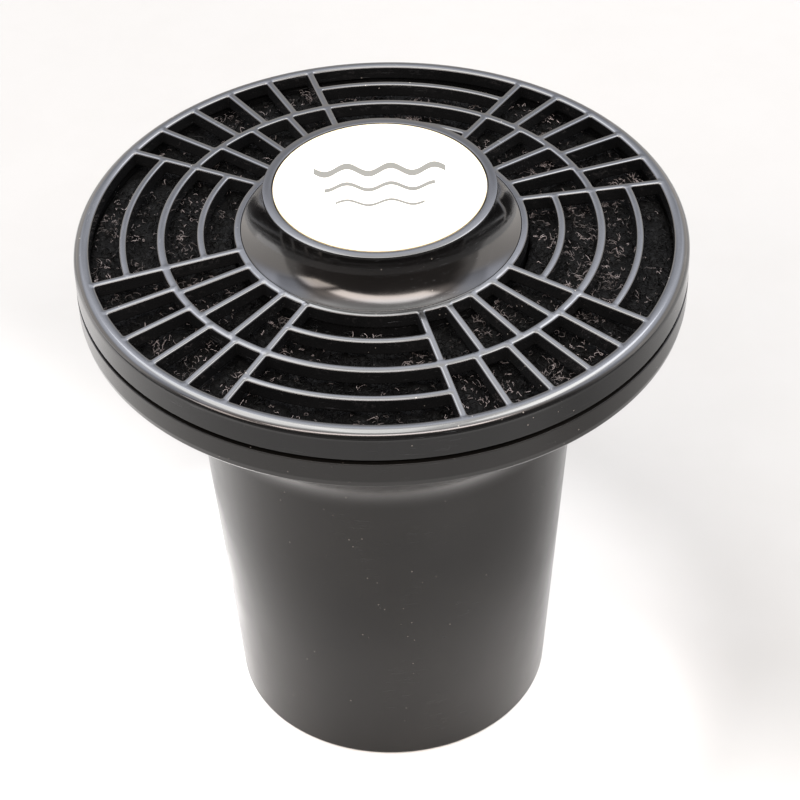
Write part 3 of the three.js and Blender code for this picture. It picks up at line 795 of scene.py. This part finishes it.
# ------------------------------------------------------------------------ pad
def make_pad():
    rng = np.random.default_rng(11)
    # core: an annular mat whose faces are lumpy
    nr, na = 50, 420
    ri, ro, zb, zt = 30.7, 60.4, 109.0, 115.7
    rad = np.linspace(ri, ro, nr)
    ang = np.arange(na) * TAU / na
    R, A = np.meshgrid(rad, ang, indexing="ij")
    bump = np.zeros_like(R)
    X, Y = R * np.cos(A), R * np.sin(A)
    for k, amp in ((0.9, 0.30), (1.9, 0.22), (3.7, 0.16)):
        for _ in range(7):
            th, ph = rng.uniform(0, TAU, 2)
            bump += amp * np.sin(k * (X * math.cos(th) + Y * math.sin(th)) + ph) / 2.2
    edge = np.minimum(R - ri, ro - R)
    Zt = zt + rise(R) + bump * np.clip(edge / 1.5, 0, 1) - 0.5 * np.exp(-edge / 0.7)
    Zb = zb + 0.5 * np.abs(bump) * np.clip(edge / 1.5, 0, 1) + 0.3 * np.exp(-edge / 0.7)
    Zb = np.where(R > 58.2, 115.0, Zb)
    Zt = np.maximum(Zt, Zb + 0.25)
    v = np.concatenate([np.stack([X, Y, Zt], -1).reshape(-1, 3), np.stack([X, Y, Zb], -1).reshape(-1, 3)])
    f = []
    idx = np.arange(nr * na).reshape(nr, na)
    for i in range(nr - 1):
        a, c = idx[i], idx[i + 1]
        an, cn = np.roll(a, -1), np.roll(c, -1)
        f += list(zip(a, c, cn, an))
        f += list(zip(a + nr * na, an + nr * na, cn + nr * na, c + nr * na))
    for i in (0, nr - 1):
        a = idx[i]
        an = np.roll(a, -1)
        f += list(zip(a, an, an + nr * na, a + nr * na))
    core = piece("pad_core", v, f, core_mat, "front_assembly", ["diffuser_pad"], 180)

    def fibres(name, count, pts, z_top, z_depth, thick, seed, mat, clustered=False):
        g = np.random.default_rng(seed)
        n = count
        r0 = np.sqrt(g.uniform(31.6**2, 59.4**2, n))
        a0 = g.uniform(0, TAU, n)
        if clustered:
            # pale curls, partly painted glints, gather round a few tufts
            tuft_r = np.sqrt(g.uniform(32.5**2, 59.0**2, 90))
            tuft_a = g.uniform(0, TAU, 90)
            which = g.integers(0, 90, n)
            gathered = g.uniform(0, 1, n) < 0.72
            tx = tuft_r[which] * np.cos(tuft_a[which]) + g.normal(0, 2.3, n)
            ty = tuft_r[which] * np.sin(tuft_a[which]) + g.normal(0, 2.3, n)
            r0 = np.where(gathered, np.clip(np.hypot(tx, ty), 31.8, 59.2), r0)
            a0 = np.where(gathered, np.arctan2(ty, tx), a0)
        centre = np.stack([r0 * np.cos(a0), r0 * np.sin(a0), z_top - np.abs(g.normal(0, z_depth, n))], -1)
        t = np.linspace(-0.5, 0.5, pts)[None, :, None]
        d = g.normal(0, 1, (n, 3)) * np.array([1, 1, 0.22])
        d /= np.linalg.norm(d, axis=1, keepdims=True)
        e1 = g.normal(0, 1, (n, 3)) * np.array([1, 1, 0.8])
        e1 -= (e1 * d).sum(1, keepdims=True) * d * 0.6
        e1 /= np.linalg.norm(e1, axis=1, keepdims=True)
        e2 = np.cross(d, e1)
        e2 /= np.linalg.norm(e2, axis=1, keepdims=True)
        L = g.uniform(1.2, 4.2, (n, 1, 1))
        rad = g.uniform(0.35, 0.95, (n, 1, 1))
        turns = g.uniform(0.9, 2.0, (n, 1, 1)) * g.choice([-1, 1], (n, 1, 1))
        if clustered:
            L, rad, turns = L * 0.26, rad * 0.56, turns * 0.58
        ph = g.uniform(0, TAU, (n, 1, 1))
        w = ph + TAU * turns * t
        sway = 0.5 * np.sin(TAU * t * g.uniform(0.3, 0.9, (n, 1, 1)) + g.uniform(0, TAU, (n, 1, 1)))
        P = centre[:, None, :] + d[:, None] * (L * t) + rad * (e1[:, None] * np.cos(w) + e2[:, None] * np.sin(w) * 0.9) + sway * e1[:, None]
        # keep each fibre inside the pad's own space
        rr = np.hypot(P[..., 0], P[..., 1])
        lim = np.clip(rr, 31.0, 60.2) / rr
        P[..., 0] *= lim
        P[..., 1] *= lim
        top = 116.78 - thick
        over = P[..., 2] > top - 0.5
        P[..., 2] = np.where(over, top - 0.5 * np.exp(-(P[..., 2] - top + 0.5) / 0.5), P[..., 2])
        P[..., 2] = np.maximum(P[..., 2], 115.1) + rise(np.hypot(P[..., 0], P[..., 1]))
        T = np.gradient(P, axis=1)
        T /= np.linalg.norm(T, axis=2, keepdims=True)
        U = np.zeros_like(P)
        u = np.cross(T[:, 0], g.normal(0, 1, (n, 3)))
        u /= np.linalg.norm(u, axis=1, keepdims=True)
        for k in range(pts):
            u = u - (u * T[:, k]).sum(1, keepdims=True) * T[:, k]
            u /= np.linalg.norm(u, axis=1, keepdims=True)
            U[:, k] = u
        V = np.cross(T, U)
        taper = np.ones(pts)
        taper[0] = taper[-1] = 0.35
        th = thick * g.uniform(0.7, 1.25, (n, 1, 1)) / 2
        sides = []
        for s in range(3):
            q = TAU * s / 3
            sides.append(P + th * taper[None, :, None] * (U * math.cos(q) + V * math.sin(q)))
        Q = np.stack(sides, 2)  # n, pts, 3, 3
        base = (np.arange(n) * pts * 3)[:, None, None]
        row = (np.arange(pts - 1) * 3)[None, :, None]
        s = np.arange(3)[None, None, :]
        s2 = (s + 1) % 3
        quads = np.stack([base + row + s, base + row + s2, base + row + 3 + s2, base + row + 3 + s], -1).reshape(-1, 4)
        cap0 = np.stack([base[:, 0, 0] + 2, base[:, 0, 0] + 1, base[:, 0, 0]], -1)
        last = base[:, 0, 0] + (pts - 1) * 3
        cap1 = np.stack([last, last + 1, last + 2], -1)
        me = bpy.data.meshes.new(name)
        verts = (Q.reshape(-1, 3) * MM).astype(np.float32)
        loops = np.concatenate([quads.reshape(-1), cap0.reshape(-1), cap1.reshape(-1)]).astype(np.int32)
        totals = np.concatenate([np.full(len(quads), 4), np.full(2 * n, 3)]).astype(np.int32)
        starts = np.concatenate([[0], np.cumsum(totals)[:-1]]).astype(np.int32)
        me.vertices.add(len(verts))
        me.vertices.foreach_set("co", verts.reshape(-1))
        me.loops.add(len(loops))
        me.loops.foreach_set("vertex_index", loops)
        me.polygons.add(len(totals))
        me.polygons.foreach_set("loop_start", starts)
        me.update(calc_edges=True)
        me.validate()
        me.shade_smooth()
        me.materials.append(mat)
        ob = link(bpy.data.objects.new(name, me))
        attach(ob, "front_assembly")
        return ob

    few = 1.0
    fibres("pad_fibres_surface", int(2250 * few), 15, 116.1, 0.35, 0.15, 3, fibre_mat)
    fibres("pad_fibres_deep", int(2250 * few), 15, 115.4, 0.55, 0.17, 4, fibre_mat)
    # pale curls: partly their own pinkish grey, partly painted glints
    fibres("pad_fibres_pale", int(2400 * few), 9, 116.55, 0.28, 0.10, 9, pale_fibre_glint_mat, True)


make_pad()


# ------------------------------------------------------------------ inner parts
def make_inner():
    # grip sleeve with radial fins
    z0, z1 = 2.3, 29.7
    b = Build()
    b.lathe(rounded([(bore_at(z0) - 2.1, z0, 0.3), (bore_at(z0) - 0.3, z0, 0.3), (bore_at(z1) - 0.3, z1, 0.3), (bore_at(z1) - 2.1, z1, 0.5)], 4), 240)
    ob = piece("grip_sleeve_rubber", b.v, b.f, rubber_mat, "housing", ["grip_sleeve"], 35)
    fins = []
    for i in range(16):
        # a fin in its own plane: rounded inner tip, thicker at the root
        r_in, r_out = 24.4, bore_at(z0) - 1.2
        zz0, zz1 = z0 + 1.5, z1 - 1.5
        rows = []
        outline2 = rounded([(r_in, zz0, 2.2), (r_out, zz0, 0), (r_out, zz1, 0), (r_in, zz1, 2.2)], 5)
        t_in, t_out = 0.62, 0.8
        verts, faces = [], []
        n = len(outline2)
        for side in (-1, 1):
            for inset in (0.0, 0.35):
                for r, z in outline2:
                    k = (r - r_in) / (r_out - r_in)
                    half = t_in + (t_out - t_in) * k
                    cr, cz = (r_in + r_out) / 2, (zz0 + zz1) / 2
                    rr = r + (inset if r < r_in + 2.5 else 0.0)
                    z2 = z + (inset if z < cz else -inset)
                    verts.append((rr, side * (half if inset else half - 0.3), z2))
        # loops: 0 outer(-), 1 inset(-), 2 outer(+), 3 inset(+)
        L = [list(range(j * n, (j + 1) * n)) for j in range(4)]
        for p, q in ((L[1], L[0]), (L[0], L[2]), (L[2], L[3])):
            faces += [(p[j], p[(j + 1) % n], q[(j + 1) % n], q[j]) for j in range(n)]
        faces.append(tuple(L[1]))
        faces.append(tuple(reversed(L[3])))
        a = TAU * i / 16
        q = np.array(verts)
        x = q[:, 0] * math.cos(a) - q[:, 1] * math.sin(a)
        y = q[:, 0] * math.sin(a) + q[:, 1] * math.cos(a)
        fins.append(temp(np.stack([x, y, q[:, 2]], -1), faces, f"fin{i}"))
    apply_boolean(ob, fins, "UNION")
    ob.data.shade_smooth()
    ob.data.set_sharp_from_angle(angle=math.radians(40))

    # split snap ring
    r = bore_at(30.3) + 0.5
    n, gap = 150, math.asin(3.5 / r)
    sec = rounded([(r - 3.0, 30.3, 0.3), (r, 30.3, 0.3), (r + 0.2, 33.3, 0.3), (r - 2.8, 33.3, 0.3)], 3)
    m = len(sec)
    verts, faces = [], []
    for i in range(n + 1):
        a = math.pi + gap + (TAU - 2 * gap) * i / n
        verts += [(p * math.cos(a), p * math.sin(a), z) for p, z in sec]
    for i in range(n):
        faces += [(i * m + j, i * m + (j + 1) % m, (i + 1) * m + (j + 1) % m, (i + 1) * m + j) for j in range(m)]
    faces += [tuple(reversed(range(m))), tuple(range(n * m, (n + 1) * m))]
    piece("snap_ring_split", verts, faces, inner_mat, "housing", ["sleeve_snap_ring"], 40)

    # pad retainer spider
    def flat_ring(r0, r1, seg):
        k = Build()
        k.lathe(rounded([(r0, 106.5, 0.35), (r1, 106.5, 0.35), (r1, 108.5, 0.3), (r0, 108.5, 0.3)], 3), seg)
        return k

    k = flat_ring(11.0, 29.6, 160)
    sp = piece("retainer_spider", k.v, k.f, inner_mat, "front_assembly", ["pad_retainer"], 40)
    parts = []
    for r0, r1, seg in ((43.6, 45.8, 200), (55.0, 57.4, 240)):
        k = flat_ring(r0, r1, seg)
        parts.append(temp(k.v, k.f, "ring"))
    for i in range(8):
        a = math.radians(22.5 + 45 * i)
        verts, faces = [], []
        sec = rounded([(-1.2, 106.5, 0.35), (1.2, 106.5, 0.35), (1.1, 108.45, 0.3), (-1.1, 108.45, 0.3)], 3)
        m = len(sec)
        for rr in (28.5, 56.4):
            verts += [(rr * math.cos(a) - s * math.sin(a), rr * math.sin(a) + s * math.cos(a), z) for s, z in sec]
        faces += [(j, (j + 1) % m, m + (j + 1) % m, m + j) for j in range(m)]
        faces += [tuple(reversed(range(m))), tuple(range(m, 2 * m))]
        parts.append(temp(verts, faces, "spoke"))
    apply_boolean(sp, parts, "UNION")
    holes = []
    for i in range(4):
        t = math.radians(45 + 90 * i)
        k = Build()
        k.lathe([(0, 105), (1.6, 105), (1.6, 110), (0, 110)], 40, closed=False)
        q = np.array(k.v)
        q[:, 0] += POST_R * math.cos(t)
        q[:, 1] += POST_R * math.sin(t)
        holes.append(temp(q, k.f, "hole"))
    apply_boolean(sp, holes)
    sp.data.shade_smooth()
    sp.data.set_sharp_from_angle(angle=math.radians(40))

    # air deflector
    k = Build()
    k.lathe(
        rounded([
            (0, 92.0, 0), (2.2, 92.3, 1.5), (4.2, 93.4, 2.0), (15.0, 104.7, 2.5), (27.5, 104.7, 0.35), (27.5, 106.2, 0.3),
            (14.4, 106.2, 0.8), (3.2, 95.3, 1.2), (0, 94.4, 0),
        ], 5, closed=False), 180, closed=False)
    cone = piece("deflector_cone", k.v, k.f, inner_mat, "front_assembly", ["air_deflector"], 35)
    holes = []
    for i in range(4):
        t = math.radians(45 + 90 * i)
        k = Build()
        k.lathe([(0, 103), (1.6, 103), (1.6, 108), (0, 108)], 40, closed=False)
        q = np.array(k.v)
        q[:, 0] += POST_R * math.cos(t)
        q[:, 1] += POST_R * math.sin(t)
        holes.append(temp(q, k.f, "hole"))
    apply_boolean(cone, holes)
    cone.data.shade_smooth()
    cone.data.set_sharp_from_angle(angle=math.radians(35))

    # washer and screws
    k = Build()
    k.lathe(rounded([(2.3, 116.8, 0.12), (5.4, 116.8, 0.15), (5.4, 117.8, 0.15), (2.3, 117.8, 0.12)], 3), 96)
    piece("washer_steel", k.v, k.f, steel_mat, "front_assembly", ["hub_washer"], 40)

    def screw(name, node, hr, hh, sr, length, x, y, z, turn):
        k = Build()
        prof = [(0, -hh, 0), (hr * 0.70, -hh, hr * 0.25), (hr * 0.95, -hh * 0.70, hr * 0.2), (hr, -hh * 0.3, 0.15), (hr, 0, 0.1), (sr, 0, 0.08)]
        thread = []
        zz = 1.0
        while zz < length - sr * 1.6:
            thread += [(sr, zz, 0), (sr * 0.84, zz + 0.22, 0), (sr * 0.84, zz + 0.34, 0), (sr, zz + 0.56, 0)]
            zz += 0.62
        prof += thread + [(sr * 0.9, length - sr * 1.3, 0), (0, length, 0)]
        k.lathe(rounded(prof, 4, closed=False, support=0.05), 64, closed=False)
        q = np.array(k.v)
        c, s = math.cos(turn), math.sin(turn)
        moved = lambda q: np.stack([q[:, 0] * c - q[:, 1] * s + x, q[:, 0] * s + q[:, 1] * c + y, q[:, 2] + z], -1)
        ob = piece(name, moved(q), k.f, steel_mat, "front_assembly", [node], 40)
        cut = []
        for a in (0, math.pi / 2):
            L, w, d = hr * 0.56, hr * 0.11, hh * 0.5
            v = [(-L, -w, -hh - 0.5), (L, -w, -hh - 0.5), (L, w, -hh - 0.5), (-L, w, -hh - 0.5),
                 (-L * 0.7, -w * 0.8, -hh + d), (L * 0.7, -w * 0.8, -hh + d), (L * 0.7, w * 0.8, -hh + d), (-L * 0.7, w * 0.8, -hh + d)]
            v = np.array(v)
            v = np.stack([v[:, 0] * math.cos(a) - v[:, 1] * math.sin(a), v[:, 0] * math.sin(a) + v[:, 1] * math.cos(a), v[:, 2]], -1)
            cut.append(temp(moved(v), [(0, 3, 2, 1), (4, 5, 6, 7), (0, 1, 5, 4), (1, 2, 6, 5), (2, 3, 7, 6), (3, 0, 4, 7)], "cross"))
        apply_boolean(ob, cut)
        ob.data.shade_smooth()
        ob.data.set_sharp_from_angle(angle=math.radians(40))

    screw("hub_screw_steel", "hub_screw", 3.7, 2.5, 1.5, 11.2, 0, 0, 116.5, 0.3)
    for i in range(4):
        t = math.radians(45 + 90 * i)
        screw(f"retainer_screw_{i + 1}_steel", f"retainer_screw_{i + 1}", 2.7, 1.7, 1.15, 11.2,
              POST_R * math.cos(t), POST_R * math.sin(t), 104.4, math.radians(20 + 37 * i))


make_inner()


# ---------------------------------------------------------------- floor, light
class Sky(Nodes):
    """The studio's ceiling and walls: soft overhead panels, a bright back, a dark front."""

    def __init__(self, name):
        world = bpy.data.worlds.new(name)
        bpy.context.scene.world = world
        world.use_nodes = True
        self.t = world.node_tree
        self.t.nodes.clear()
        self.out = self.t.nodes.new("ShaderNodeOutputWorld")
        self.bsdf = self.t.nodes.new("ShaderNodeBackground")
        self.t.links.new(self.bsdf.outputs[0], self.out.inputs["Surface"])
        self.co = self.t.nodes.new("ShaderNodeTexCoord").outputs["Generated"]

    def box(self, X, Y, cx, cy, hx, hy, soft):
        return self.math("MULTIPLY", self.band(X, cx, hx, soft), self.band(Y, cy, hy, soft))

    def studio(self):
        x, y, z = self.sep()
        mul = lambda a, b: self.math("MULTIPLY", a, b)
        add = lambda a, b: self.math("ADD", a, b)
        h = add(self.math("POWER", add(mul(x, x), mul(y, y)), 0.5), 1e-4)
        el = mul(self.math("ARCSINE", z), 180 / math.pi)
        side = self.ramp(self.math("DIVIDE", self.math("ABSOLUTE", x), h), 0.12, 0.45)
        zc = self.math("MAXIMUM", z, 0.04)
        X, Y = self.math("DIVIDE", x, zc), self.math("DIVIDE", y, zc)
        # walls brighten towards the ceiling, sooner at the sides than at the back
        up = add(
            mul(side, self.ramp(el, 22.0, 37.0, 0.0, 3.4)),
            mul(self.math("SUBTRACT", 1.0, side), self.ramp(el, 34.5, 40.0, 0.0, 3.4)),
        )
        climb = mul(self.ramp(el, 0.0, 23.0, 0.0, 1.4, smooth=False), self.math("SUBTRACT", 1.0, side))
        base = add(add(add(1.25, mul(side, 1.95)), climb), up)
        base = add(base, self.ramp(el, 37.0, 45.0, 0.0, 1.8))
        # the front falls off to dark
        near = self.ramp(Y, -0.55, -0.25, 0.42, 1.0)
        low = self.ramp(Y, -1.75, -1.15, 0.0, 1.0)
        front = self.ramp(self.math("DIVIDE", y, h), -0.55, -0.15)
        keep = self.math("MAXIMUM", front, self.ramp(el, 28.0, 42.0))
        low = self.math("MAXIMUM", low, mul(front, 1.0))
        base = mul(mul(mul(base, near), low), keep)
        base = add(base, self.math("SUBTRACT", 0.14, mul(keep, 0.06)))
        flank = mul(self.band(self.math("ABSOLUTE", X), 1.32, 0.55, 0.25), self.band(Y, -0.2, 0.28, 0.2))
        base = mul(base, self.math("SUBTRACT", 1.0, mul(flank, 0.40)))
        # panels, laid out on the ceiling plane
        lights = mul(self.box(X, Y, -0.36, 0.36, 0.19, 0.50, 0.10), 8.0)
        lights = add(lights, mul(self.box(X, Y, 0.42, 0.40, 0.13, 0.46, 0.10), 13.0))
        lights = add(lights, mul(self.box(X, Y, -0.03, 0.05, 0.08, 0.40, 0.10), 8.0))
        lights = add(lights, mul(self.box(X, add(Y, mul(X, -0.18)), -0.10, -0.97, 0.80, 0.13, 0.20), 18.0))
        lights = add(lights, mul(self.box(X, Y, -1.95, -1.15, 0.45, 0.32, 0.30), 11.0))
        total = mul(add(base, lights), SKY)
        cool = self.ramp(el, 40.0, 62.0)
        colour = self.mix(self.ramp(el, 18.0, 32.0), (1.05, 0.99, 0.94), (0.93, 0.965, 1.09))
        colour = self.mix(cool, colour, (1.0, 0.99, 0.97))
        warm = self.math("SUBTRACT", 1.0, self.math("MAXIMUM", front, cool))
        colour = self.mix(mul(warm, 0.8), colour, (1.0, 0.84, 0.72))
        self.link_to("Color", colour)
        self.link_to("Strength", total)


SKY = 0.50


def make_stage():
    me = bpy.data.meshes.new("floor")
    n = 40
    verts, faces = [], []
    size = 6.0
    for i in range(n + 1):
        for j in range(n + 1):
            verts.append((-size + 2 * size * i / n, -size + 2 * size * j / n, -0.0002))
    for i in range(n):
        for j in range(n):
            a = i * (n + 1) + j
            faces.append((a, a + n + 1, a + n + 2, a + 1))
    me.from_pydata(verts, [], faces)
    m = Nodes("floor_paper")
    m.set(Specular_IOR_Level=0.3)
    x, y, z = m.sep()
    pale = m.mix(m.ramp(m.noise(3.0, 3.0), 0.3, 0.7), (0.215, 0.212, 0.206), (0.230, 0.227, 0.221))
    # painted light and shade: the sheet's colour is made brightest in front of the object and to its left as a painted
    # pool of light, and painted shade makes it fall off to dark far in front and far to the sides
    painted_light_side = m.math("ADD", m.math("MULTIPLY", x, -0.6), m.math("MULTIPLY", y, -0.8))
    # painted light: the front-left half of the sheet gets a paler colour than the back-right
    pale = m.mix(m.ramp(painted_light_side, -0.05, 0.05), pale, (0.46, 0.455, 0.445))
    r, a, _ = m.polar()
    # painted light round the base, kept weaker on its right and behind it as a painted shadow there
    near = m.math("MULTIPLY", m.ramp(r, 44.0, 84.0, 1.0, 0.0), m.ramp(painted_light_side, -0.045, 0.015, 0.25, 1.0))
    pale = m.mix(near, pale, (0.84, 0.83, 0.81))
    # painted shade: far in front of the object and far to its sides the sheet's colour goes nearly black
    far = m.math("MULTIPLY", m.ramp(m.math("ABSOLUTE", x), 0.32, 0.55), m.ramp(y, 0.02, 0.22, 1.0, 0.0))
    far = m.math("MAXIMUM", far, m.ramp(y, -0.42, -0.27, 1.0, 0.0))
    pale = m.mix(far, pale, (0.03, 0.03, 0.03))
    m.link_to("Base Color", pale)
    m.link_to("Roughness", m.ramp(m.noise(40.0, 3.0), 0.3, 0.7, 0.5, 0.65))
    me.materials.append(m.mat)
    link(bpy.data.objects.new("floor", me))

    sky = Sky("soft_studio")
    sky.studio()
    bpy.context.scene.view_settings.view_transform = "Standard"
    bpy.context.scene.view_settings.look = "None"


make_stage()
